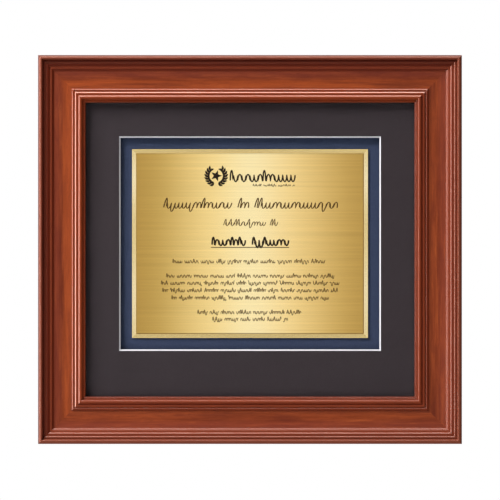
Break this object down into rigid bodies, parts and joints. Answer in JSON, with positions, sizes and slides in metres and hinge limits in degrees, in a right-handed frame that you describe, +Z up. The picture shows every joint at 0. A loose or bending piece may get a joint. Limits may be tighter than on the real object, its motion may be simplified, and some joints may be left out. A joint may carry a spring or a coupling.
{
  "type": "presentation_plaque",
  "caption": "Wall-hung presentation plaque: mitred moulded wooden frame, black window mount, blue board and a brushed gold engraved plate, with D-ring hangers behind.",
  "frame": {"origin": "the middle of the frame on the plane of the rails' backs, which faces the wall", "axes": "+Z up as it hangs, -Y is the front, +X is to the right of someone who faces the front"},
  "size_m": [0.455, 0.032, 0.4174],
  "materials": {
    "frame_wood": "gloss",
    "picture_glass": "gloss",
    "black_board": "matte",
    "blue_board": "matte",
    "gold_metal": "satin",
    "spacer_foam": "matte",
    "foam_tape": "matte",
    "hardboard": "matte",
    "zinc_steel": "satin",
    "bumper_rubber": "matte",
    "engraving_fill": "satin"
  },
  "bodies": {
    "frame": {"backing_board": "hardboard", "bottom_rail": "frame_wood", "corner_nails": "zinc_steel", "glazing": "picture_glass", "gold_plate": "gold_metal", "hanger_screws": "zinc_steel", "left_hanger_strap": "zinc_steel", "left_rail": "frame_wood", "mount_board": "blue_board", "plate_tape": "foam_tape", "right_hanger_strap": "zinc_steel", "right_rail": "frame_wood", "spacer_bottom": "spacer_foam", "spacer_left": "spacer_foam", "spacer_right": "spacer_foam", "spacer_top": "spacer_foam", "top_rail": "frame_wood", "turn_button_screws": "zinc_steel", "wall_bumpers": "bumper_rubber", "window_mount": "black_board"},
    "turn_button_top_left": {"turn_button_top_left": "zinc_steel"},
    "turn_button_top_right": {"turn_button_top_right": "zinc_steel"},
    "turn_button_bottom_left": {"turn_button_bottom_left": "zinc_steel"},
    "turn_button_bottom_right": {"turn_button_bottom_right": "zinc_steel"},
    "turn_button_left": {"turn_button_left": "zinc_steel"},
    "turn_button_right": {"turn_button_right": "zinc_steel"},
    "left_hanger_ring": {"left_hanger_ring": "zinc_steel"},
    "right_hanger_ring": {"right_hanger_ring": "zinc_steel"}
  },
  "joints": [
    {"name": "turn_top_left", "type": "hinge", "parent": "frame", "child": "turn_button_top_left", "pos_m": [-0.1, 0.0007, 0.17575], "axis": [0, 1, 0], "continuous": true},
    {"name": "turn_top_right", "type": "hinge", "parent": "frame", "child": "turn_button_top_right", "pos_m": [0.1, 0.0007, 0.17575], "axis": [0, 1, 0], "continuous": true},
    {"name": "turn_bottom_left", "type": "hinge", "parent": "frame", "child": "turn_button_bottom_left", "pos_m": [-0.1, 0.0007, -0.17575], "axis": [0, 1, 0], "continuous": true},
    {"name": "turn_bottom_right", "type": "hinge", "parent": "frame", "child": "turn_button_bottom_right", "pos_m": [0.1, 0.0007, -0.17575], "axis": [0, 1, 0], "continuous": true},
    {"name": "turn_left", "type": "hinge", "parent": "frame", "child": "turn_button_left", "pos_m": [-0.1945, 0.0007, -0.03], "axis": [0, 1, 0], "continuous": true},
    {"name": "turn_right", "type": "hinge", "parent": "frame", "child": "turn_button_right", "pos_m": [0.1945, 0.0007, -0.03], "axis": [0, 1, 0], "continuous": true},
    {"name": "left_ring_swing", "type": "hinge", "parent": "frame", "child": "left_hanger_ring", "pos_m": [-0.2055, 0.0025, 0.092], "axis": [-1, 0, 0], "range_deg": [0, 165]},
    {"name": "right_ring_swing", "type": "hinge", "parent": "frame", "child": "right_hanger_ring", "pos_m": [0.2055, 0.0025, 0.092], "axis": [-1, 0, 0], "range_deg": [0, 165]}
  ]
}
